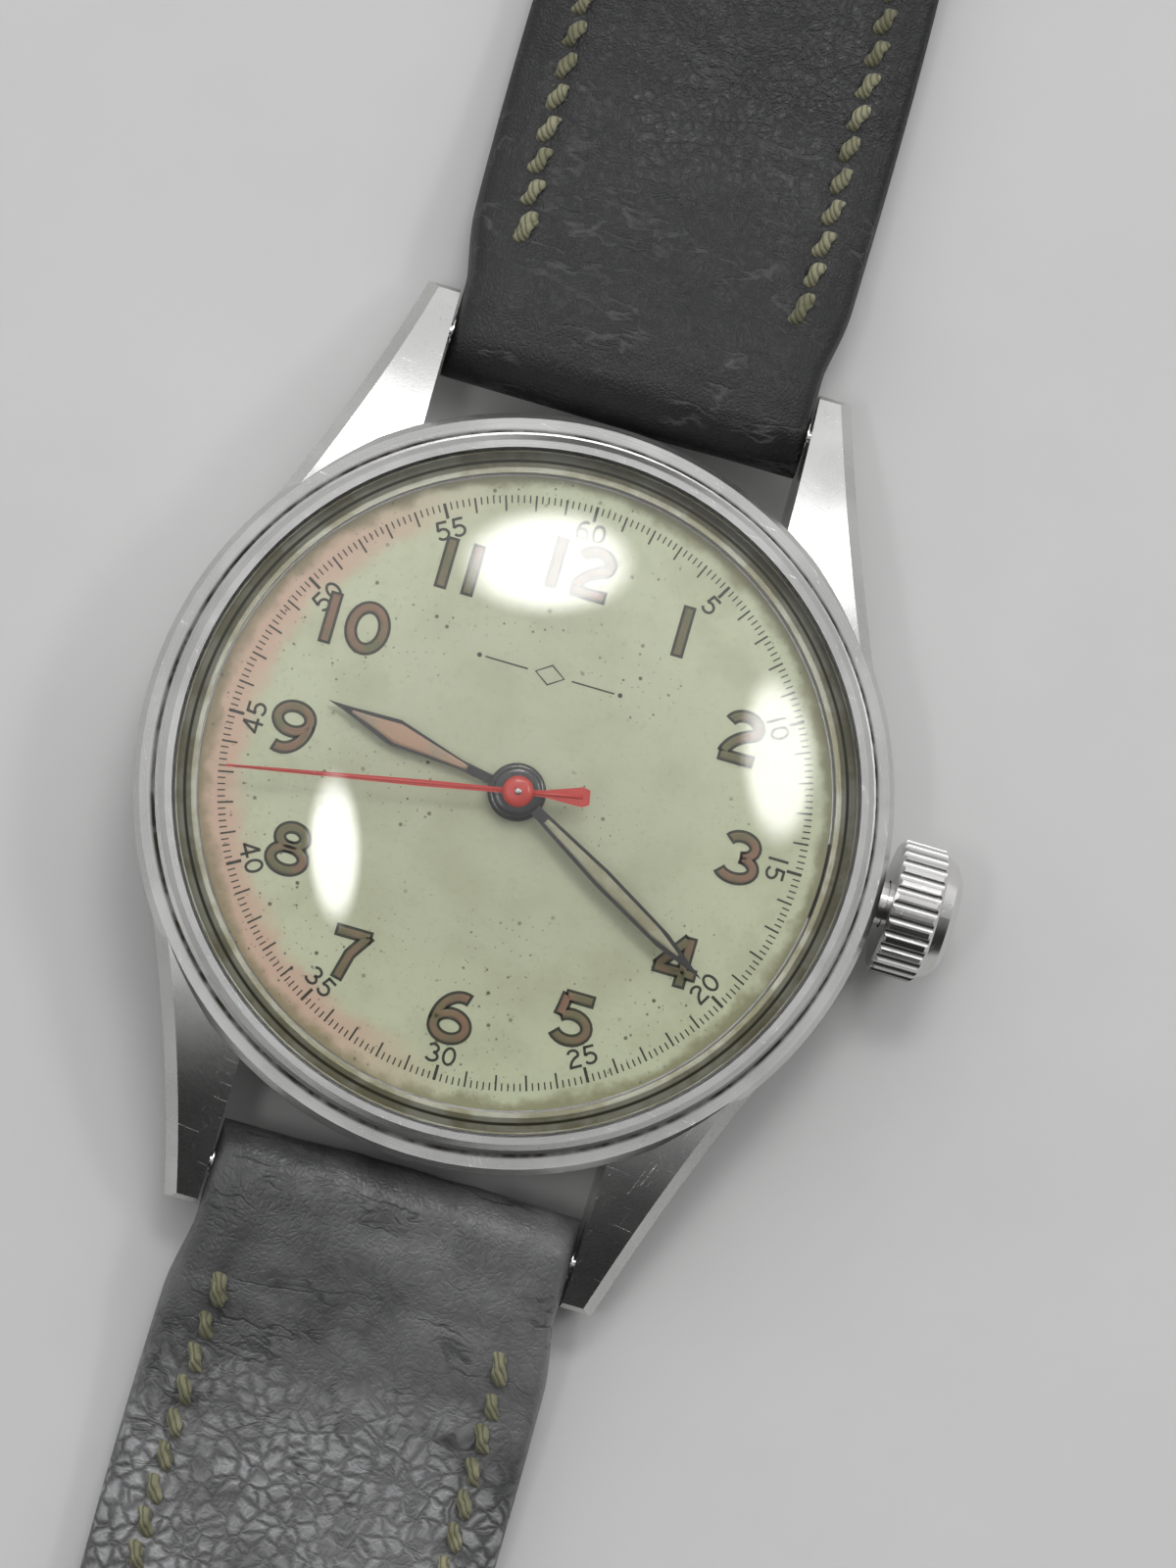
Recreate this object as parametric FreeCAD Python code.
"""A hand-wound wristwatch with centre seconds, as separate sub-parts. Millimetres.

The origin is the centre of the case back's flat outer face. +X points to 3 o'clock (the crown),
+Y to 12 o'clock and +Z out through the dial. The watch lies on its back with its strap open.
"""
import FreeCAD, Part
import math
import os

V = FreeCAD.Vector

# Case
CASE_R = 16.0
CASE_BOTTOM = 1.2
CASE_TOP = 6.6
BORE_R = 13.3
BACK_INNER = 0.9
BEZEL_R = 15.1
BEZEL_TOP = 8.0
CRYSTAL_R = 14.2
CRYSTAL_SEAT = 7.1
CRYSTAL_TOP = 10.4
LUG_GAP = 16.0
LUG_TIP_Y = 20.2
LUG_BEVEL = 0.5
BAR_Y = 18.3
BAR_Z = 3.0
BAR_R = 0.75
BAR_PIVOT_R = 0.4

# Crown and stem
STEM_Z = 3.6
STEM_R = 0.5
CROWN_R = 2.9
CROWN_START = 16.5
CROWN_FLUTES = 28

# Dial and hands
DIAL_R = 13.2
DIAL_Z = (6.0, 6.4)
HOUR_Z = (6.75, 6.9)
MINUTE_Z = (7.15, 7.3)
SECOND_Z = (7.5, 7.6)
HOUR_DEG = 280.0
MINUTE_DEG = 119.5
SECOND_DEG = 259.0

# Movement: levels
PLATE_R = 11.65
PLATE_Z = (3.6, 5.2)
BRIDGE_R = 11.3
BRIDGE_Z = (1.4, 1.9)
RATCHET_Z = (1.15, 1.4)
BARREL_Z = (3.05, 4.5)
BARREL_FLOOR_Z = 4.65
CENTRE_WHEEL_Z = (2.75, 2.9)
THIRD_WHEEL_Z = (2.45, 2.6)
FOURTH_WHEEL_Z = (2.1, 2.2)
ESCAPE_Z = (3.05, 3.2)
BALANCE_Z = (1.95, 2.2)
COCK_Z = (1.15, 1.5)
PALLET_BRIDGE_Z = (2.4, 2.75)
REGULATOR_Z = (0.95, 1.12)
KEYLESS_Z = (5.25, 5.45)
LOWER_PIVOT = 1.5
UPPER_PIVOT = 3.8
MOTION_Z = 5.3
RUNNING_GAP = 0.02
ARBOR_R = 0.14
BALANCE_R = 3.4
BARREL_WALL_R = (4.25, 4.55)
BARREL_ARBOR_R = 0.6
SQUARE_HALF = 0.4
JEWEL_R = 0.5
JEWEL_T = 0.25
CENTRE_ARBOR_R = 0.32
FOURTH_ARBOR_R = 0.12
CANNON_R = 0.5
STUD_R = 0.25

# Movement: tooth counts and modules
BARREL_TEETH, BARREL_MODULE = 80, 0.12
CENTRE_TEETH, CENTRE_MODULE = 80, 0.1
THIRD_TEETH, FOURTH_TEETH = 75, 70
THIRD_MODULE = 9.0 / 85
FOURTH_MODULE = 2 * 4.54 / 77
PINION_TEETH = 10
ESCAPE_PINION_TEETH = 7
RATCHET_TEETH, CROWN_WHEEL_TEETH, WINDING_TEETH = 40, 25, 22
WINDING_MODULE = 0.2
CROWN_TEETH_R = (2.05, 2.6)
CROWN_TEETH_TOP = 1.58
CLUTCH_TEETH = 6
CANNON_TEETH, MINUTE_TEETH, HOUR_TEETH, SETTING_TEETH = 12, 36, 40, 20
MOTION_MODULE, HOUR_MODULE = 0.1, 0.096


def around(place, radius, angle):
    """A point at a radius and an angle, in radians from +X, about a place."""
    return (place[0] + radius * math.cos(angle), place[1] + radius * math.sin(angle))


def polar(radius, degrees):
    """A point at a radius and an angle from +X about the watch's centre."""
    return around((0.0, 0.0), radius, math.radians(degrees))


# Movement: places of the arbors in plan
CENTRE = (0.0, 0.0)
BARREL = (2.565, 4.752)
THIRD = polar(4.5, 190)
ESCAPE = polar(4.54, -50)
PALLET = (1.45, -5.27)
BALANCE = polar(7.9, 265)
CROWN_WHEEL = (7.0, 0.0)
MINUTE = polar(2.4, -20)
SETTING = around(MINUTE, 2.8, math.radians(10.7))
CLICK = (7.15, 7.96)
LEVER_PIVOT = (10.45, 3.0)
YOKE_PIVOT = (7.0, 3.4)
LEVER_PIN = (11.0, 0.0)
YOKE_PIN = (7.7, 0.0)
TRAIN_POSTS = [(-9.6, -3.0), (6.0, -6.0)]
BARREL_POSTS = [(-3.4, 9.0), (9.3, 4.6), (9.9, -3.2)]
COCK_POST = (-5.6, -8.4)
PALLET_POST = (4.0, -8.3)
DIAL_FEET_DEG = (173.0, -60.5)
DIAL_FOOT_RADIUS = 10.3
CASING_SCREW_DEG = (150.0, 318.0)
CASING_SCREW_RADIUS = 11.2

# Straps and buckle
STRAP_W = 16.8
STRAP_END_W = 14.0
STRAP_LUG_W = 15.8
STRAP_TAPER_Y = (38.0, 66.0)
STRAP_T = 2.2
ROLL_R = 1.9
STRAP_12_END = 93.5
STRAP_6_END = 131.0
BUCKLE_BAR_Z = 2.35
BUCKLE_BAR_R = 0.6
HOLE_PITCH = 6.5
HOLE_COUNT = 7
STITCH_PITCH = 1.45
STITCH_LENGTH = 1.0
STITCH_START = 23.0
STITCH_INSET = 2.1
STITCH_HALF_W = 0.24

# The strap's upper and lower faces in side view, as (y, z) corners along +Y
STRAP_TOP = [(BAR_Y, BAR_Z + ROLL_R), (22.0, 4.2), (26.0, 3.2), (32.0, 2.5), (58.0, STRAP_T)]
STRAP_UNDER = [(26.0, 0.0), (22.0, 0.35), (BAR_Y, BAR_Z - ROLL_R)]
STRAP_12_TOP = STRAP_TOP + [(66.0, 3.2), (STRAP_12_END - 5.0, 3.25)]
STRAP_6_TOP = STRAP_TOP + [(STRAP_6_END, STRAP_T - 0.2)]

PARTS = {}


def keep(name, *shapes):
    """File one named sub-part; more than one shape stays a group of separate solids."""
    PARTS[name] = shapes[0] if len(shapes) == 1 else Part.makeCompound(list(shapes))


def cylinder(place, z0, z1, radius):
    return Part.makeCylinder(radius, z1 - z0, V(place[0], place[1], z0))


def ring(place, z0, z1, outer, inner):
    return cylinder(place, z0, z1, outer).cut(cylinder(place, z0 - 1, z1 + 1, inner))


def x_cylinder(x0, x1, y, z, radius):
    return Part.makeCylinder(radius, x1 - x0, V(x0, y, z), V(1, 0, 0))


def box(x0, x1, y0, y1, z0, z1):
    return Part.makeBox(x1 - x0, y1 - y0, z1 - z0, V(x0, y0, z0))


def face_of(points):
    """A planar face from 3-D corner points."""
    return Part.Face(Part.makePolygon(points + points[:1]))


def prism(points, z0, z1):
    return face_of([V(x, y, z0) for x, y in points]).extrude(V(0, 0, z1 - z0))


def turned(profile):
    """A solid of revolution about Z from (radius, z) corners."""
    return face_of([V(r, 0, z) for r, z in profile]).revolve(V(0, 0, 0), V(0, 0, 1), 360)


def x_turned(profile, z_axis):
    """A solid of revolution about the X line at z_axis, from (x, radius) corners."""
    flat = face_of([V(x, 0, z_axis + r) for x, r in profile])
    return flat.revolve(V(0, 0, z_axis), V(1, 0, 0), 360)


def side_prism(outline, x0, x1):
    """A (y, z) outline extruded along X."""
    return face_of([V(x0, y, z) for y, z in outline]).extrude(V(x1 - x0, 0, 0))


def capsule(a, b, radius, z0, z1):
    """A plate with round ends from a to b."""
    dx = b[0] - a[0]
    dy = b[1] - a[1]
    length = math.hypot(dx, dy)
    nx = -dy / length * radius
    ny = dx / length * radius
    bar = prism([(a[0] + nx, a[1] + ny), (a[0] - nx, a[1] - ny),
                 (b[0] - nx, b[1] - ny), (b[0] + nx, b[1] + ny)], z0, z1)
    return bar.fuse([cylinder(a, z0, z1, radius), cylinder(b, z0, z1, radius)]).removeSplitter()


def mirrored_y(shape):
    return shape.mirror(V(0, 0, 0), V(0, 1, 0))


def mirrored_x(shape):
    return shape.mirror(V(0, 0, 0), V(1, 0, 0))


# Case

def arc_edge(start, middle, end):
    return Part.Arc(start, middle, end).toShape()


def lug_plan():
    """The lug seen from above: a straight inner side and a slightly hollow outer side."""
    half = LUG_GAP / 2
    inner_root, inner_tip = V(half, 11.0, -1), V(half, LUG_TIP_Y, -1)
    outer_tip, outer_root, inside = V(9.4, LUG_TIP_Y, -1), V(13.2, 9.0, -1), V(12.4, 7.0, -1)
    edges = [Part.makeLine(inner_root, inner_tip), Part.makeLine(inner_tip, outer_tip),
             arc_edge(outer_tip, V(10.8, 15.3, -1), outer_root), Part.makeLine(outer_root, inside),
             Part.makeLine(inside, inner_root)]
    return Part.Face(Part.Wire(edges)).extrude(V(0, 0, 10))


def lug_side():
    """The lug seen from the side: its back slopes down to a blunt, rounded tip."""
    def at(y, z):
        return V(5, y, z)
    edges = [arc_edge(at(6.0, 6.35), at(14.6, 5.75), at(20.0, 3.2)),
             Part.makeLine(at(20.0, 3.2), at(LUG_TIP_Y, 2.7)),
             Part.makeLine(at(LUG_TIP_Y, 2.7), at(LUG_TIP_Y, 1.7)),
             arc_edge(at(LUG_TIP_Y, 1.7), at(19.9, 1.05), at(19.2, 0.8)),
             arc_edge(at(19.2, 0.8), at(16.2, 1.05), at(13.0, 1.6)),
             Part.makeLine(at(13.0, 1.6), at(6.0, 1.6)), Part.makeLine(at(6.0, 1.6), at(6.0, 6.35))]
    return Part.Face(Part.Wire(edges)).extrude(V(12, 0, 0))


def lug():
    """The lug at 1 o'clock, chamfered along its outer back edge and drilled for the spring bar."""
    shape = lug_plan().common(lug_side())
    back_edges = [edge for edge in shape.Edges
                  if edge.BoundBox.YLength > 8 and edge.BoundBox.XLength > 1 and edge.BoundBox.ZMin > 2.5]
    shape = shape.makeChamfer(LUG_BEVEL, back_edges)
    bar_hole = x_cylinder(LUG_GAP / 2 - 1, LUG_GAP / 2 + 1.0, BAR_Y, BAR_Z, BAR_PIVOT_R)
    return shape.cut(bar_hole)


def make_case():
    body = turned([(0, CASE_BOTTOM), (14.4, CASE_BOTTOM), (15.5, 2.0), (CASE_R, 3.1), (CASE_R, 6.2),
                   (15.75, CASE_TOP), (CRYSTAL_R, CASE_TOP), (CRYSTAL_R, CRYSTAL_SEAT), (0, CRYSTAL_SEAT)])
    first = lug()
    second = mirrored_x(first)
    lugs = [first, second, mirrored_y(first), mirrored_y(second)]
    tube_hole = x_cylinder(10, 18, 0, STEM_Z, 0.95)
    case_middle = body.fuse(lugs).cut(cylinder(CENTRE, 0, 9, BORE_R)).cut(tube_hole)
    keep("case_middle", case_middle.removeSplitter())
    keep("bezel", turned([(CRYSTAL_R, CASE_TOP), (BEZEL_R, CASE_TOP), (BEZEL_R, 7.1), (14.95, 7.7),
                          (14.7, BEZEL_TOP), (14.4, BEZEL_TOP), (CRYSTAL_R, 7.75)]))
    keep("crystal", make_crystal())
    case_back = turned([(0, 0), (11.5, 0), (11.7, 0.12), (12.0, 0.12), (14.0, 0.4), (14.3, BACK_INNER),
                        (BORE_R, BACK_INNER), (BORE_R, 2.4), (12.7, 2.4), (12.7, BACK_INNER),
                        (0, BACK_INNER)])
    knife_notch = box(13.9, 15.0, -1.5, 1.5, 0.3, 0.6).rotated(V(0, 0, 0), V(0, 0, 1), 60)
    keep("case_back", case_back.cut(knife_notch))
    keep("case_gasket", ring(CENTRE, BACK_INNER, CASE_BOTTOM, 14.2, BORE_R))
    keep("crown_tube", x_cylinder(13.3, 17.1, 0, STEM_Z, 0.95).cut(x_cylinder(13, 18, 0, STEM_Z, 0.56)))
    pivot = BAR_PIVOT_R
    bar = x_turned([(-8.8, 0), (-8.8, pivot), (-7.9, pivot), (-7.9, BAR_R), (7.9, BAR_R),
                    (7.9, pivot), (8.8, pivot), (8.8, 0)], BAR_Z)
    bar_12 = bar.translated(V(0, BAR_Y, 0))
    keep("spring_bar_12", bar_12)
    keep("spring_bar_6", mirrored_y(bar_12))


def dome_point(rim, top):
    """A point half-way out on the spherical cap that has its top on the axis."""
    rise = top.z - rim.z
    sphere = (rim.x ** 2 + rise ** 2) / (2 * rise)
    half = rim.x / 2
    return V(half, 0, top.z - sphere + math.sqrt(sphere ** 2 - half ** 2))


def make_crystal():
    """A domed crystal: two arcs turned about the axis, standing on a flat rim."""
    inner_r = 13.5
    outer_rim = V(CRYSTAL_R, 0, 8.0)
    inner_rim = V(inner_r, 0, 7.3)
    outer_top = V(0, 0, CRYSTAL_TOP)
    inner_top = V(0, 0, 9.5)
    seat = [V(inner_r, 0, CRYSTAL_SEAT), V(CRYSTAL_R, 0, CRYSTAL_SEAT)]
    outer = Part.Arc(outer_rim, dome_point(outer_rim, outer_top), outer_top).toShape()
    inner = Part.Arc(inner_top, dome_point(inner_rim, inner_top), inner_rim).toShape()
    edges = [Part.makeLine(seat[0], seat[1]), Part.makeLine(seat[1], outer_rim), outer,
             Part.makeLine(outer_top, inner_top), inner, Part.makeLine(inner_rim, seat[0])]
    return Part.Face(Part.Wire(edges)).revolve(V(0, 0, 0), V(0, 0, 1), 360)


def make_crown():
    """The fluted crown with a smooth domed cap, hollow around the tube."""
    start = CROWN_START
    body = x_turned([(start, 0), (start, CROWN_R - 0.25), (start + 0.2, CROWN_R),
                     (start + 1.9, CROWN_R), (start + 2.1, CROWN_R - 0.2), (start + 2.6, CROWN_R - 0.45),
                     (start + 2.9, CROWN_R - 1.0), (start + 3.1, 0)], STEM_Z)
    flutes = []
    for index in range(CROWN_FLUTES):
        angle = 2 * math.pi * index / CROWN_FLUTES
        y = (CROWN_R + 0.08) * math.cos(angle)
        z = STEM_Z + (CROWN_R + 0.08) * math.sin(angle)
        flutes.append(x_cylinder(start - 1, start + 2.0, y, z, 0.24))
    hollow = x_cylinder(start - 1, start + 0.75, 0, STEM_Z, 1.05)
    stem_hole = x_cylinder(start - 1, start + 1.6, 0, STEM_Z, STEM_R)
    keep("crown", body.cut(flutes).cut(hollow).cut(stem_hole))
    stem = x_turned([(5.7, 0), (5.7, 0.3), (6.4, 0.3), (6.4, 0.42), (10.7, 0.42), (10.7, 0.3), (11.3, 0.3),
                     (11.3, STEM_R), (start + 1.6, STEM_R), (start + 1.6, 0)], STEM_Z)
    keep("winding_stem", stem)


# Toothed wheels

def gear_points(place, teeth, module, phase):
    """Corners of a toothed outline with one tooth pointing along phase, in radians."""
    pitch = 2 * math.pi / teeth
    root = module * (teeth / 2 - 1.0)
    tip = module * (teeth / 2 + 0.8)
    corners = []
    for index in range(teeth):
        middle = phase + index * pitch
        for radius, share in ((root, -0.30), (tip, -0.10), (tip, 0.10), (root, 0.30)):
            angle = middle + share * pitch
            corners.append(around(place, radius, angle))
    return corners


def gear(place, z0, z1, teeth, module, phase=0.0):
    return prism(gear_points(place, teeth, module, phase), z0, z1)


def partner_phase(driver, driver_teeth, driver_phase, driven, driven_teeth):
    """The phase that puts a gap of the driven wheel where the driver has a tooth."""
    line = math.atan2(driven[1] - driver[1], driven[0] - driver[0])
    offset = driver_phase - line
    return line + math.pi + math.pi / driven_teeth - offset * driver_teeth / driven_teeth


def crossings(place, z0, z1, inner, outer, arms):
    """Cutters that open a wheel's web between its arms."""
    cutters = []
    arm_share = 0.12
    for index in range(arms):
        start = 2 * math.pi * (index + arm_share) / arms
        sweep = 2 * math.pi * (1 - 2 * arm_share) / arms
        outline = []
        for step in range(7):
            outline.append(around(place, outer, start + sweep * step / 6))
        for share in (0.9, 0.1):
            outline.append(around(place, inner, start + sweep * share))
        cutters.append(prism(outline, z0 - 0.05, z1 + 0.05))
    return cutters


def crossed_wheel(place, levels, teeth, module):
    """A thin toothed wheel with five arms."""
    disc = gear(place, *levels, teeth, module)
    return disc.cut(crossings(place, *levels, 1.0, 3.3, 5))


def train_wheels():
    """The barrel, centre, third, fourth and escape wheels, each in mesh with the next."""
    centre_pinion_phase = partner_phase(BARREL, BARREL_TEETH, 0.0, CENTRE, PINION_TEETH)
    third_pinion_phase = partner_phase(CENTRE, CENTRE_TEETH, 0.0, THIRD, PINION_TEETH)
    fourth_pinion_phase = partner_phase(THIRD, THIRD_TEETH, 0.0, CENTRE, PINION_TEETH)
    escape_pinion_phase = partner_phase(CENTRE, FOURTH_TEETH, 0.0, ESCAPE, ESCAPE_PINION_TEETH)

    wheel = crossed_wheel(CENTRE, CENTRE_WHEEL_Z, CENTRE_TEETH, CENTRE_MODULE)
    pinion = gear(CENTRE, 3.0, 3.5, PINION_TEETH, BARREL_MODULE, centre_pinion_phase)
    arbor = cylinder(CENTRE, CENTRE_WHEEL_Z[0], 6.6, CENTRE_ARBOR_R)
    bore = cylinder(CENTRE, 2, 8, FOURTH_ARBOR_R + RUNNING_GAP)
    keep("centre_wheel", wheel.fuse([pinion, arbor]).cut(bore))

    wheel = crossed_wheel(THIRD, THIRD_WHEEL_Z, THIRD_TEETH, THIRD_MODULE)
    pinion = gear(THIRD, 2.7, 3.1, PINION_TEETH, CENTRE_MODULE, third_pinion_phase)
    keep("third_wheel", wheel.fuse([pinion, cylinder(THIRD, LOWER_PIVOT, UPPER_PIVOT, ARBOR_R)]))

    wheel = crossed_wheel(CENTRE, FOURTH_WHEEL_Z, FOURTH_TEETH, FOURTH_MODULE)
    pinion = gear(CENTRE, 2.35, 2.65, PINION_TEETH, THIRD_MODULE, fourth_pinion_phase)
    keep("fourth_wheel", wheel.fuse([pinion, cylinder(CENTRE, LOWER_PIVOT, SECOND_Z[1], FOURTH_ARBOR_R)]))

    pinion = gear(ESCAPE, 2.05, 2.3, ESCAPE_PINION_TEETH, FOURTH_MODULE, escape_pinion_phase)
    wheel = prism(escape_points(), *ESCAPE_Z).cut(crossings(ESCAPE, *ESCAPE_Z, 0.5, 1.45, 4))
    keep("escape_wheel", wheel.fuse([pinion, cylinder(ESCAPE, LOWER_PIVOT, UPPER_PIVOT, ARBOR_R)]))


def escape_points():
    """Fifteen slim club-shaped teeth."""
    corners = []
    for index in range(15):
        base = 2 * math.pi * index / 15
        for radius, turn in ((1.62, 0.0), (1.98, 0.16), (2.0, 0.24), (1.7, 0.2)):
            corners.append(around(ESCAPE, radius, base + turn))
    return corners


def spiral_strip(place, r0, r1, turns, thickness, z0, z1, start):
    """A flat spring wound as a spiral."""
    steps = int(turns * 24)
    outer = []
    inner = []
    for step in range(steps + 1):
        angle = start + 2 * math.pi * turns * step / steps
        radius = r0 + (r1 - r0) * step / steps
        outer.append(around(place, radius, angle))
        inner.append(around(place, radius - thickness, angle))
    return prism(outer + inner[::-1], z0, z1)


def make_barrel():
    """The going barrel: a toothed drum, its cover, the mainspring inside and the arbor through it."""
    inside, wall = BARREL_WALL_R
    bottom, top = BARREL_Z
    teeth = gear(BARREL, bottom, 3.45, BARREL_TEETH, BARREL_MODULE)
    drum = teeth.fuse(cylinder(BARREL, bottom, top, wall)).cut(cylinder(BARREL, 3, 4.35, inside))
    hole = cylinder(BARREL, 2, 5, BARREL_ARBOR_R + RUNNING_GAP)
    keep("barrel_drum", drum.cut(hole))
    keep("barrel_cover", cylinder(BARREL, bottom, 3.2, inside).cut(hole))
    arbor = cylinder(BARREL, RATCHET_Z[1], 4.6, BARREL_ARBOR_R).fuse(cylinder(BARREL, top, 5.1, 0.4))
    keep("barrel_arbor", arbor.fuse(arbor_square(*RATCHET_Z)))
    keep("mainspring", spiral_strip(BARREL, 1.2, 4.24, 7, 0.12, 3.3, 4.25, 0.0))


def arbor_square(z0, z1):
    """The square on the barrel arbor that drives the ratchet wheel."""
    x, y = BARREL
    return box(x - SQUARE_HALF, x + SQUARE_HALF, y - SQUARE_HALF, y + SQUARE_HALF, z0, z1)


def make_winding():
    """The ratchet and crown wheels on the back, and the two pinions on the stem."""
    ratchet = gear(BARREL, *RATCHET_Z, RATCHET_TEETH, WINDING_MODULE)
    keep("ratchet_wheel", ratchet.cut(arbor_square(0, 3)))
    phase = partner_phase(BARREL, RATCHET_TEETH, 0.0, CROWN_WHEEL, CROWN_WHEEL_TEETH)
    wheel = gear(CROWN_WHEEL, *RATCHET_Z, CROWN_WHEEL_TEETH, WINDING_MODULE, phase).fuse(crown_teeth())
    keep("crown_wheel", wheel.cut(cylinder(CROWN_WHEEL, 0, 3, 0.6 + RUNNING_GAP)))
    winding = stem_pinion(9.0, 10.35, 2.0, WINDING_TEETH, 0.45)
    keep("winding_pinion", winding.fuse(clutch_teeth(8.7, 9.0, 0.0)))
    sliding = stem_pinion(6.8, 8.6, 1.3, 18, 0.45)
    groove = x_cylinder(7.45, 7.95, 0, STEM_Z, 2).cut(x_cylinder(7, 8.5, 0, STEM_Z, 0.95))
    keep("sliding_pinion", sliding.cut(groove).fuse(clutch_teeth(8.6, 8.9, 180.0 / CLUTCH_TEETH)))
    tip = around(BARREL, 4.35, math.radians(58))
    lever = prism([tip, (tip[0] + 0.5, tip[1] + 0.75), (CLICK[0] - 0.3, CLICK[1] + 0.75),
                   (CLICK[0] + 0.7, CLICK[1]), (CLICK[0] - 0.2, CLICK[1] - 0.75)], *RATCHET_Z)
    keep("click", lever.cut(cylinder(CLICK, 1, 2, 0.3)))
    keep("click_spring", prism([(4.2, 10.1), (7.6, 8.72), (7.65, 8.87), (4.8, 10.05),
                                (4.8, 10.4), (4.2, 10.4)], *RATCHET_Z))


def crown_teeth():
    """Teeth that stand on the crown wheel's face, where the winding pinion's lowest teeth reach them."""
    teeth = []
    inner, outer = CROWN_TEETH_R
    for index in range(CROWN_WHEEL_TEETH):
        angle = 2 * math.pi * index / CROWN_WHEEL_TEETH
        teeth.append(slim_bar(around(CROWN_WHEEL, inner, angle), around(CROWN_WHEEL, outer, angle), 0.09,
                              RATCHET_Z[1], CROWN_TEETH_TOP))
    return teeth


def clutch_teeth(x0, x1, turn):
    """Face teeth round the stem that lock the two pinions together while the crown is pushed in."""
    teeth = []
    half_angle = 90.0 / CLUTCH_TEETH - 2.0
    for index in range(CLUTCH_TEETH):
        middle = turn + index * 360.0 / CLUTCH_TEETH
        corners = [polar(0.5, middle - half_angle), polar(1.1, middle - half_angle),
                   polar(1.1, middle + half_angle), polar(0.5, middle + half_angle)]
        teeth.append(side_prism([(y, STEM_Z + z) for y, z in corners], x0, x1))
    return teeth


def stem_pinion(x0, x1, radius, teeth, bore):
    """A toothed sleeve on the stem line."""
    outline = gear_points((0, 0), teeth, radius * 2 / teeth, 0.0)
    flat = face_of([V(x0, y, STEM_Z + z) for y, z in outline])
    return flat.extrude(V(x1 - x0, 0, 0)).cut(x_cylinder(x0 - 1, x1 + 1, 0, STEM_Z, bore))


def make_escapement():
    line = math.atan2(BALANCE[1] - PALLET[1], BALANCE[0] - PALLET[0])
    lever = slim_bar(PALLET, around(PALLET, 2.45, line), 0.16, *ESCAPE_Z)
    toward = math.atan2(ESCAPE[1] - PALLET[1], ESCAPE[0] - PALLET[0])
    pieces = [lever, cylinder(PALLET, 2.5, UPPER_PIVOT, ARBOR_R), cylinder(PALLET, *ESCAPE_Z, 0.4)]
    for side in (-1, 1):
        angle = toward + side * math.radians(70)
        end = around(PALLET, 1.15, angle)
        pieces.append(slim_bar(PALLET, end, 0.18, *ESCAPE_Z))
        pieces.append(slim_bar(end, around(end, 0.1, toward), 0.1, *ESCAPE_Z))
    keep("pallet_fork", pieces[0].fuse(pieces[1:]))

    rim = ring(BALANCE, *BALANCE_Z, BALANCE_R, BALANCE_R - 0.4)
    parts = [cylinder(BALANCE, *BALANCE_Z, 0.5), cylinder(BALANCE, 2.8, 2.95, 0.8)]
    parts.append(cylinder(BALANCE, 1.25, UPPER_PIVOT, ARBOR_R))
    for degrees in (30, 150, 270):
        arm_end = around(BALANCE, BALANCE_R - 0.3, math.radians(degrees))
        parts.append(slim_bar(BALANCE, arm_end, 0.2, *BALANCE_Z))
    impulse_pin = around(BALANCE, -0.6, line)
    parts.append(cylinder(impulse_pin, 2.9, ESCAPE_Z[1], 0.12))
    keep("balance_wheel", rim.fuse(parts))
    keep("hairspring", spiral_strip(BALANCE, 0.42, 1.9, 9, 0.05, 1.62, 1.82, 0.0))


def slim_bar(a, b, half_width, z0, z1):
    """A square-ended bar from a to b."""
    length = math.hypot(b[0] - a[0], b[1] - a[1])
    nx = -(b[1] - a[1]) / length * half_width
    ny = (b[0] - a[0]) / length * half_width
    return prism([(a[0] + nx, a[1] + ny), (a[0] - nx, a[1] - ny),
                  (b[0] - nx, b[1] - ny), (b[0] + nx, b[1] + ny)], z0, z1)


# Plates, bridges, screws and jewels

def screw(place, seat, length, head_r=0.6, up=-1):
    """A slotted screw whose head sits on the level seat; up is the side the head is on."""
    z0, z1 = sorted((seat, seat + up * 0.22))
    head = cylinder(place, z0, z1, head_r)
    slot_z = sorted((seat + up * 0.12, seat + up))
    slot = box(place[0] - 0.1, place[0] + 0.1, place[1] - 1, place[1] + 1, *slot_z)
    shaft = cylinder(place, *sorted((seat, seat - up * length)), 0.3)
    return head.cut(slot).fuse(shaft)


def screw_hole(place, z0, z1):
    return cylinder(place, z0, z1, 0.3)


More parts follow.
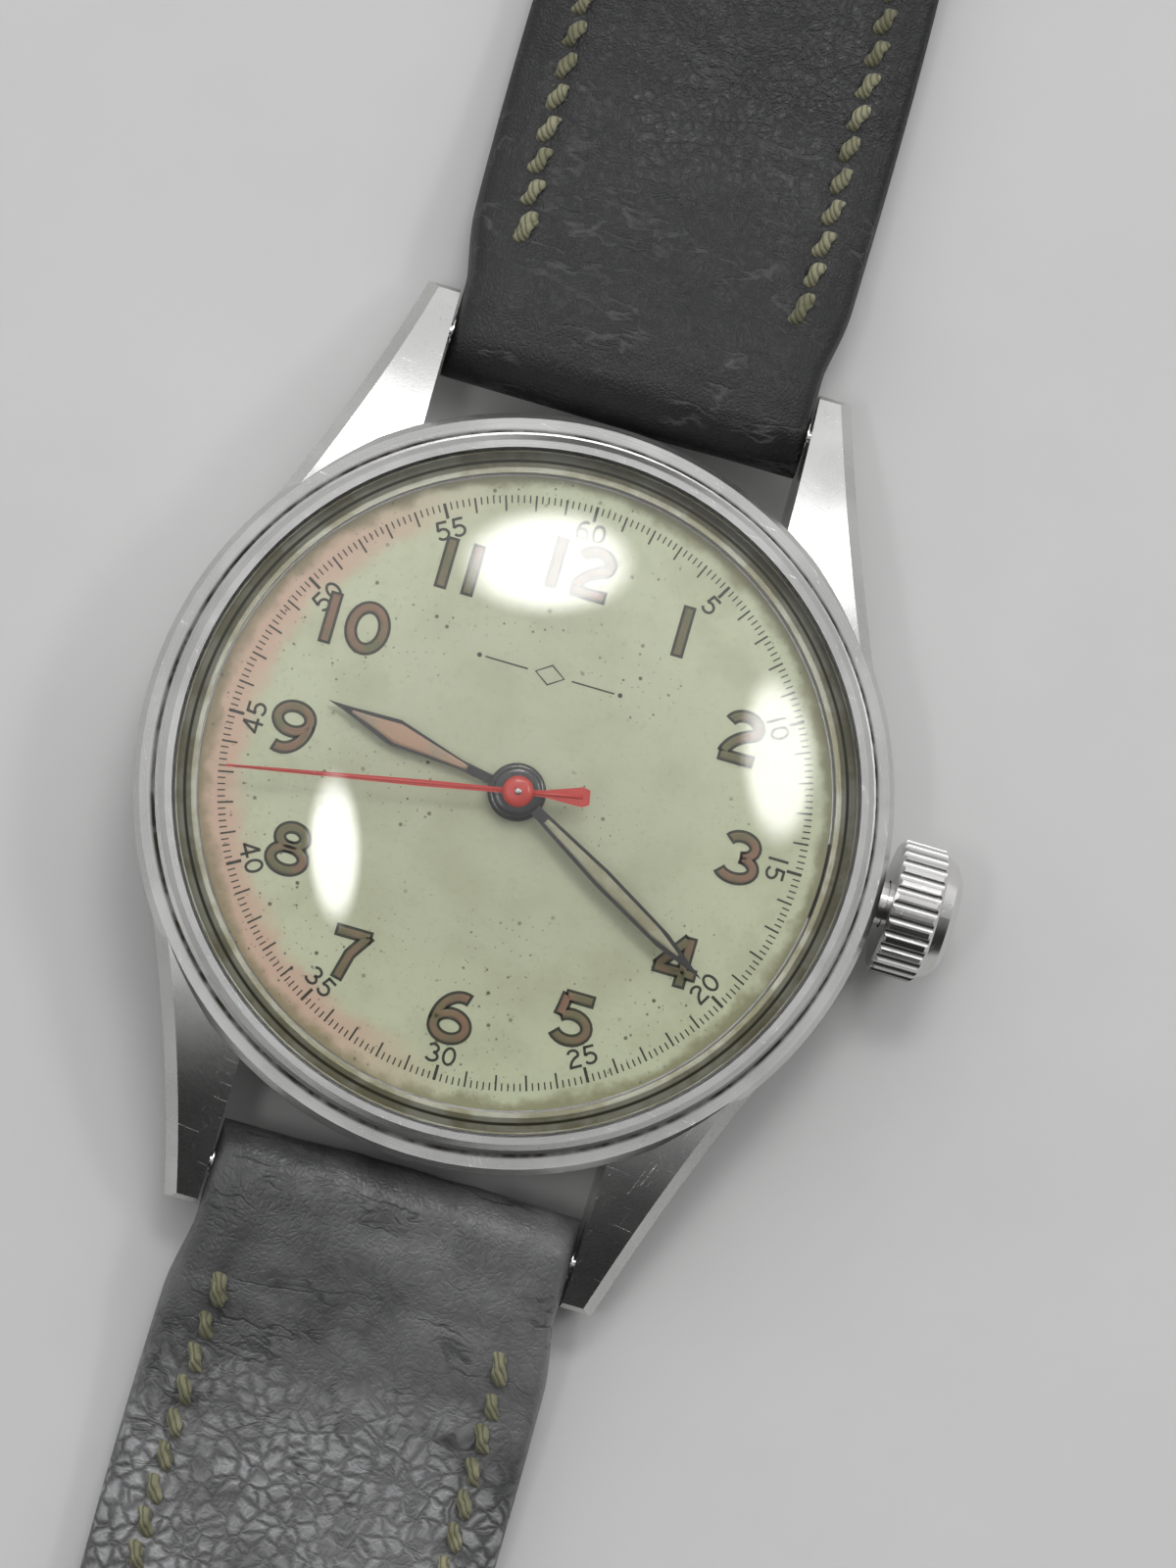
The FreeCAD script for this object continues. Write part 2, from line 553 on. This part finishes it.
def make_plates():
    plate = cylinder(CENTRE, *PLATE_Z, PLATE_R)
    cutters = [cylinder(BARREL, 3, BARREL_FLOOR_Z, 5.05), cylinder(BARREL, 3, 6, 0.4 + RUNNING_GAP),
               cylinder(CENTRE, 3, 6, CENTRE_ARBOR_R + RUNNING_GAP),
               box(6.2, 13, -1.6, 1.6, 3, 6), box(8.75, 10.6, -2.35, 2.35, 3, 6),
               x_cylinder(5.4, 6.4, 0, STEM_Z, 0.3 + RUNNING_GAP), cylinder(CENTRE, 3, 3.6, 1.0)]
    for place in (THIRD, ESCAPE, PALLET, BALANCE):
        cutters.append(cylinder(place, 3, PLATE_Z[0] + JEWEL_T, JEWEL_R))
    for place in TRAIN_POSTS + BARREL_POSTS + [COCK_POST, PALLET_POST]:
        cutters.append(screw_hole(place, 3, 4.4))
    for degrees in CASING_SCREW_DEG:
        cutters.append(screw_hole(polar(CASING_SCREW_RADIUS, degrees), 3, 4.4))
    for degrees in DIAL_FEET_DEG:
        cutters.append(cylinder(polar(DIAL_FOOT_RADIUS, degrees), 3.9, 6, 0.35))
        cutters.append(foot_screw(degrees))
    studs = [cylinder(MINUTE, 5.0, 5.95, STUD_R), cylinder(SETTING, 5.0, 5.7, STUD_R)]
    studs += [cylinder(LEVER_PIVOT, 5.0, 5.6, 0.3), cylinder(YOKE_PIVOT, 5.0, 5.6, 0.3)]
    mainplate = plate.cut(cutters).fuse(studs)
    keep("mainplate", mainplate.removeSplitter())
    keep("dial_foot_screws", *[foot_screw(degrees) for degrees in DIAL_FEET_DEG])
    movement_ring = ring(CENTRE, PLATE_Z[0], DIAL_Z[0], BORE_R, PLATE_R)
    keep("movement_ring", movement_ring.cut(box(10, 14, -1.6, 1.6, 3, 6.5)))
    casing_places = [polar(CASING_SCREW_RADIUS, degrees) for degrees in CASING_SCREW_DEG]
    keep("casing_screws", *[screw(place, PLATE_Z[0], 0.8, 0.7) for place in casing_places])
    make_bridges()


def foot_screw(degrees):
    """A radial screw that pinches a dial foot from the plate's edge."""
    start = polar(DIAL_FOOT_RADIUS + 0.35, degrees)
    way = polar(1.0, degrees)
    length = PLATE_R - 0.05 - (DIAL_FOOT_RADIUS + 0.35)
    return Part.makeCylinder(0.3, length, V(start[0], start[1], 4.4), V(way[0], way[1], 0))


def make_bridges():
    """Two large bridges that part along a bent line, with cocks for the balance and the pallet fork."""
    border = [(-12.0, 4.5), (-2.0, 1.9), (2.6, 1.2), (4.3, -1.6), (5.4, -3.0), (12.0, -5.2)]
    gap = 0.12
    disc = cylinder(CENTRE, *BRIDGE_Z, BRIDGE_R)
    above = prism([(x, y + gap) for x, y in border] + [(13, 13), (-12, 13)], 1, 2)
    below = prism([(x, y - gap) for x, y in border] + [(13, -13), (-12, -13)], 1, 2)
    pinion_bay = box(8.6, 10.6, -2.3, 2.3, 1, 3)

    barrel_bridge = disc.common(above).cut(pinion_bay)
    crown_recess = ring(CROWN_WHEEL, BRIDGE_Z[0] - 0.1, BRIDGE_Z[0] + 0.25, CROWN_TEETH_R[1] + 0.12,
                        CROWN_TEETH_R[0] - 0.12)
    barrel_bridge = barrel_bridge.cut([cylinder(BARREL, 1, 3, 0.6 + RUNNING_GAP), crown_recess])
    posts = [cylinder(place, BRIDGE_Z[1], PLATE_Z[0], 1.0) for place in BARREL_POSTS]
    hub = cylinder(CROWN_WHEEL, RATCHET_Z[0], BRIDGE_Z[0], 0.6)
    barrel_bridge = barrel_bridge.fuse(posts + [hub])
    holes = [screw_hole(place, 1, 4) for place in BARREL_POSTS]
    holes += [screw_hole(CROWN_WHEEL, 1, 2), cylinder(CLICK, 1, 2, 0.28)]
    keep("barrel_bridge", barrel_bridge.cut(holes).removeSplitter())

    bay = [cylinder(BALANCE, 1, 3, 3.9), capsule(COCK_POST, BALANCE, 1.5, 1, 3)]
    train_bridge = disc.common(below).cut(bay)
    posts = [cylinder(place, BRIDGE_Z[1], PLATE_Z[0], 1.1) for place in TRAIN_POSTS]
    train_bridge = train_bridge.fuse(posts)
    holes = [screw_hole(place, 1, 4) for place in TRAIN_POSTS]
    holes += [cylinder(place, 0, 3, JEWEL_R) for place in (CENTRE, THIRD, ESCAPE)]
    largest = max(train_bridge.cut(holes).Solids, key=lambda solid: solid.Volume)
    keep("train_bridge", largest.removeSplitter())

    cock_foot = cylinder(COCK_POST, COCK_Z[1], PLATE_Z[0], 1.1)
    cock = capsule(COCK_POST, BALANCE, 1.2, *COCK_Z).fuse(cock_foot)
    cock = cock.cut([cylinder(BALANCE, 1, 2, JEWEL_R), screw_hole(COCK_POST, 1, 4)])
    keep("balance_cock", cock.removeSplitter())
    pallet_foot = cylinder(PALLET_POST, PALLET_BRIDGE_Z[1] - 0.05, PLATE_Z[0], 0.8)
    pallet_bridge = capsule(PALLET_POST, PALLET, 0.8, *PALLET_BRIDGE_Z).fuse(pallet_foot)
    pallet_bridge = pallet_bridge.cut([cylinder(PALLET, 2, 3, JEWEL_R), screw_hole(PALLET_POST, 2, 4)])
    keep("pallet_bridge", pallet_bridge.removeSplitter())

    screws = [screw(place, BRIDGE_Z[0], 2.8) for place in TRAIN_POSTS + BARREL_POSTS]
    screws += [screw(COCK_POST, COCK_Z[0], 3.0), screw(PALLET_POST, PALLET_BRIDGE_Z[0], 1.8)]
    screws.append(screw(CROWN_WHEEL, RATCHET_Z[0], 0.7))
    keep("movement_screws", *screws)
    click_head = cylinder(CLICK, 0.95, RATCHET_Z[0], 0.5)
    click_shaft = screw(CLICK, RATCHET_Z[0], 0.7, 0.5).common(cylinder(CLICK, 0, 3, 0.28))
    keep("click_screw", click_shaft.fuse(click_head))
    make_jewels()
    pointer = slim_bar(around(BALANCE, 0.85, 0.0), around(BALANCE, 3.0, 0.0), 0.18, *REGULATOR_Z)
    keep("regulator", ring(BALANCE, *REGULATOR_Z, 0.9, 0.3).fuse(pointer))


def make_jewels():
    """Ruby bearings pressed into the plate, the bridges and the cocks."""
    hole = ARBOR_R + RUNNING_GAP
    fourth_hole = FOURTH_ARBOR_R + RUNNING_GAP
    settings = [(THIRD, BRIDGE_Z[0], hole), (ESCAPE, BRIDGE_Z[0], hole), (CENTRE, BRIDGE_Z[0], fourth_hole),
                (BALANCE, COCK_Z[0], hole), (PALLET, PALLET_BRIDGE_Z[0], hole)]
    settings += [(place, PLATE_Z[0], hole) for place in (THIRD, ESCAPE, PALLET, BALANCE)]
    keep("jewels", *[ring(place, level, level + JEWEL_T, JEWEL_R, bore) for place, level, bore in settings])


# Motion works and keyless works under the dial

def make_motion_works():
    start = MOTION_Z
    minute_phase = partner_phase(CENTRE, CANNON_TEETH, 0.0, MINUTE, MINUTE_TEETH)
    hour_phase = partner_phase(MINUTE, PINION_TEETH, 0.0, CENTRE, HOUR_TEETH)
    setting_phase = partner_phase(MINUTE, MINUTE_TEETH, minute_phase, SETTING, SETTING_TEETH)
    bore = cylinder(CENTRE, 5, 8, CENTRE_ARBOR_R + RUNNING_GAP)
    cannon = gear(CENTRE, start, start + 0.2, CANNON_TEETH, MOTION_MODULE)
    cannon = cannon.fuse(cylinder(CENTRE, start, MINUTE_Z[1], CANNON_R))
    keep("cannon_pinion", cannon.cut(bore))
    minute = gear(MINUTE, start, start + 0.15, MINUTE_TEETH, MOTION_MODULE, minute_phase)
    minute = minute.fuse(gear(MINUTE, start + 0.1, start + 0.55, PINION_TEETH, HOUR_MODULE, 0.0))
    keep("minute_wheel", minute.cut(cylinder(MINUTE, 5, 7, STUD_R + RUNNING_GAP)))
    hour = gear(CENTRE, start + 0.3, start + 0.5, HOUR_TEETH, HOUR_MODULE, hour_phase)
    hour = hour.fuse(cylinder(CENTRE, start + 0.3, HOUR_Z[1], 0.8))
    keep("hour_wheel", hour.cut(cylinder(CENTRE, 5, 8, CANNON_R + RUNNING_GAP)))
    setting = gear(SETTING, start, start + 0.15, SETTING_TEETH, MOTION_MODULE, setting_phase)
    keep("setting_wheel", setting.cut(cylinder(SETTING, 5, 7, STUD_R + RUNNING_GAP)))

    lever = slim_bar(LEVER_PIVOT, (LEVER_PIN[0], LEVER_PIN[1] - 0.3), 0.3, *KEYLESS_Z)
    lever = lever.fuse([cylinder(LEVER_PIVOT, *KEYLESS_Z, 0.6), cylinder(LEVER_PIN, 3.98, 5.3, 0.2)])
    keep("setting_lever", lever.cut(cylinder(LEVER_PIVOT, 5, 6, 0.3 + RUNNING_GAP)))
    yoke = slim_bar(YOKE_PIVOT, (YOKE_PIN[0], YOKE_PIN[1] - 0.2), 0.25, *KEYLESS_Z)
    yoke = yoke.fuse([cylinder(YOKE_PIVOT, *KEYLESS_Z, 0.6), cylinder(YOKE_PIN, 4.66, 5.3, 0.12)])
    keep("yoke", yoke.cut(cylinder(YOKE_PIVOT, 5, 6, 0.3 + RUNNING_GAP)))
    plate = prism([(6.3, 2.0), (10.9, 2.0), (10.9, 3.4), (9.6, 5.2), (6.6, 5.2)], 5.5, 5.65)
    post = cylinder((8.6, 4.4), PLATE_Z[1], 5.6, 0.5)
    plate = plate.fuse(post).cut([cylinder(LEVER_PIVOT, 5, 6, 0.3), cylinder(YOKE_PIVOT, 5, 6, 0.3)])
    keep("setting_bridge", plate)


# Dial and hands

def aimed(shape, dial_degrees):
    """Turn a hand drawn along +Y to its place on the dial, clockwise from 12."""
    return shape.rotated(V(0, 0, 0), V(0, 0, 1), -dial_degrees)


def make_dial_and_hands():
    dial = cylinder(CENTRE, *DIAL_Z, DIAL_R).cut(cylinder(CENTRE, 5, 7, 0.85))
    feet = [cylinder(polar(DIAL_FOOT_RADIUS, degrees), 4.0, DIAL_Z[0], 0.33) for degrees in DIAL_FEET_DEG]
    keep("dial", dial.fuse(feet))
    hour = prism([(-0.2, 0.5), (-0.2, 2.6), (-0.58, 5.6), (-0.12, 7.9), (0, 8.7), (0.12, 7.9),
                  (0.58, 5.6), (0.2, 2.6), (0.2, 0.5)], *HOUR_Z).fuse(cylinder(CENTRE, *HOUR_Z, 1.2))
    keep("hour_hand", aimed(hour.cut(cylinder(CENTRE, 6, 8, 0.8)), HOUR_DEG))
    minute = prism([(-0.2, 0.4), (-0.42, 5.0), (-0.36, 8.6), (0, 10.9), (0.36, 8.6), (0.42, 5.0), (0.2, 0.4)],
                   *MINUTE_Z).fuse(cylinder(CENTRE, *MINUTE_Z, 1.05))
    keep("minute_hand", aimed(minute.cut(cylinder(CENTRE, 6, 8, CANNON_R)), MINUTE_DEG))
    second = prism([(-0.1, -0.5), (-0.14, 4.0), (-0.05, 12.1), (0.05, 12.1), (0.14, 4.0),
                    (0.1, -0.5), (0.16, -1.2), (0.42, -2.7), (0.3, -3.0), (-0.3, -3.0),
                    (-0.42, -2.7), (-0.16, -1.2)], *SECOND_Z).fuse(cylinder(CENTRE, *SECOND_Z, 0.65))
    keep("seconds_hand", aimed(second.cut(cylinder(CENTRE, 6, 8, FOURTH_ARBOR_R)), SECOND_DEG))


# Straps and buckle

def roll(y, z, radius, x0, x1):
    return Part.makeCylinder(radius, x1 - x0, V(x0, y, z), V(1, 0, 0))


def strap_plan(end_y, tip_drop):
    """The strap's outline in plan, along +Y: narrow between the lugs, wide outside, then tapered."""
    half = STRAP_W / 2
    lug_half = STRAP_LUG_W / 2
    end_half = STRAP_END_W / 2
    right = [(lug_half, 15.5), (lug_half, 21.0), (half, 23.2), (half, STRAP_TAPER_Y[0]),
             (end_half, STRAP_TAPER_Y[1]), (end_half, end_y - tip_drop)]
    if tip_drop:
        right += [(end_half * 0.92, end_y - tip_drop * 0.6), (end_half * 0.6, end_y - tip_drop * 0.18),
                  (end_half * 0.2, end_y)]
    return right + [(-x, y) for x, y in right[::-1]]


def strap_blank(side_outline, end_y, tip_drop, top):
    half = STRAP_W / 2 + 1
    body = side_prism(side_outline, -half, half)
    body = body.fuse(roll(BAR_Y, BAR_Z, ROLL_R, -half, half))
    body = body.common(prism(strap_plan(end_y, tip_drop), -1, top))
    return body.cut(roll(BAR_Y, BAR_Z, BAR_R + 0.05, -half, half))


def make_strap_12():
    """The buckle half: it rises near its end to leave room for the keepers' lower walls."""
    end = STRAP_12_END
    loop = 1.35
    outline = STRAP_12_TOP + [(end, BUCKLE_BAR_Z + loop), (end, BUCKLE_BAR_Z - loop), (66.0, 1.0),
                              (58.0, 0.0)] + STRAP_UNDER
    body = strap_blank(outline, end + loop + 1, 0, 8)
    end_roll = roll(end, BUCKLE_BAR_Z, loop, -STRAP_END_W / 2, STRAP_END_W / 2)
    bar_hole = roll(end, BUCKLE_BAR_Z, BUCKLE_BAR_R + 0.05, -9, 9)
    slot = box(-1.4, 1.4, end - 3.2, end + 3, 0, 6)
    keep("strap_12", body.fuse(end_roll).cut([bar_hole, slot]).removeSplitter())


def make_strap_6():
    """The tail half, with its row of round adjustment holes and a pointed tip."""
    end = STRAP_6_END
    outline = STRAP_6_TOP + [(end, 0.0)] + STRAP_UNDER
    body = strap_blank(outline, end, 9.0, 8)
    holes = [cylinder((0, end - 16.0 - index * HOLE_PITCH), -1, 4, 0.95) for index in range(HOLE_COUNT)]
    keep("strap_6", mirrored_y(body.cut(holes).removeSplitter()))


def height_at(y, line):
    """Height of a (y, z) line at a distance along the strap."""
    for (y0, z0), (y1, z1) in zip(line, line[1:]):
        if y <= y1:
            return z0 + (z1 - z0) * (y - y0) / (y1 - y0)
    return line[-1][1]


def strap_half_width(y):
    """Half the strap's width at a distance from the watch's centre."""
    start, end = STRAP_TAPER_Y
    share = max(0.0, min(1.0, (y - start) / (end - start)))
    return STRAP_W / 2 + (STRAP_END_W - STRAP_W) / 2 * share


def stitch_row(last_y, line):
    """Short thread bars lying on the strap along both edges."""
    bars = []
    for index in range(int((last_y - STITCH_START) / STITCH_PITCH)):
        y = STITCH_START + index * STITCH_PITCH
        far = y + STITCH_LENGTH
        z0 = height_at(y, line)
        z1 = height_at(far, line)
        outline = [(y, z0), (far, z1), (far - 0.1, z1 + 0.12), (y + 0.1, z0 + 0.12)]
        x = strap_half_width(y) - STITCH_INSET
        bars.append(side_prism(outline, x - STITCH_HALF_W, x + STITCH_HALF_W))
        bars.append(side_prism(outline, -x - STITCH_HALF_W, -x + STITCH_HALF_W))
    return bars


def make_stitches():
    keep("stitches_12", *stitch_row(STRAP_12_END - 10.0, STRAP_12_TOP))
    keep("stitches_6", *[mirrored_y(bar) for bar in stitch_row(STRAP_6_END - 12.0, STRAP_6_TOP)])


def keeper(y, length, bottom, top):
    """A leather loop around the strap."""
    half = STRAP_END_W / 2 + 0.3
    wall = 0.9
    outer = box(-half - wall, half + wall, y, y + length, bottom, top)
    inner = box(-half, half, y - 1, y + length + 1, bottom + wall, top - wall)
    edges = [edge for edge in outer.Edges if edge.BoundBox.YLength > length - 0.1]
    return outer.makeFillet(0.7, edges).cut(inner)


def make_buckle():
    end = STRAP_12_END
    half = STRAP_END_W / 2 + 0.15
    wall = 1.5
    side = [(end - 1.4, 1.6), (end - 1.4, 3.1), (end - 0.7, 3.8), (end + 0.8, 3.8), (end + 4.0, 2.9),
            (end + 9.0, 2.1), (end + 11.0, 1.6), (end + 11.0, 0.5), (end + 10.0, 0.15), (end + 6.0, 0.3),
            (end + 1.0, 0.9)]
    blank = side_prism(side, -half - wall, half + wall)
    window = box(-half, half, end - 3, end + 8.6, -1, 6)
    frame = blank.cut(window)
    corners = [edge for edge in frame.Edges
               if abs(abs(edge.BoundBox.XMin) - half - wall) < 0.01 and edge.BoundBox.XLength < 0.01
               and edge.BoundBox.YLength < 0.01 and edge.BoundBox.YMin > end + 10.5]
    frame = frame.makeFillet(2.0, corners)
    frame = frame.cut(roll(end, BUCKLE_BAR_Z, BUCKLE_BAR_R, -half - 1.0, half + 1.0))
    keep("buckle_frame", frame)
    keep("buckle_bar", roll(end, BUCKLE_BAR_Z, BUCKLE_BAR_R, -half - 1.0, half + 1.0))
    tube = roll(end, BUCKLE_BAR_Z, 1.1, -1.0, 1.0)
    arm = side_prism([(end, 3.45), (end + 4.0, 3.5), (end + 9.6, 2.75), (end + 10.6, 2.35),
                      (end + 10.5, 2.0), (end + 9.0, 2.2), (end + 4.0, 2.75), (end, 2.6)], -0.75, 0.75)
    tongue = arm.fuse(tube).cut(roll(end, BUCKLE_BAR_Z, BUCKLE_BAR_R + 0.05, -2, 2))
    keep("buckle_tongue", tongue.removeSplitter())
    keep("fixed_keeper", keeper(end - 8.6, 4.2, 0.1, 6.2))
    keep("free_keeper", keeper(end - 19.0, 4.2, 0.05, 6.3))


def main():
    make_case()
    make_crown()
    train_wheels()
    make_barrel()
    make_winding()
    make_escapement()
    make_plates()
    make_motion_works()
    make_dial_and_hands()
    make_strap_12()
    make_strap_6()
    make_stitches()
    make_buckle()
    os.makedirs("parts", exist_ok=True)
    for name, shape in PARTS.items():
        shape.exportStep("parts/" + name + ".step")


main()
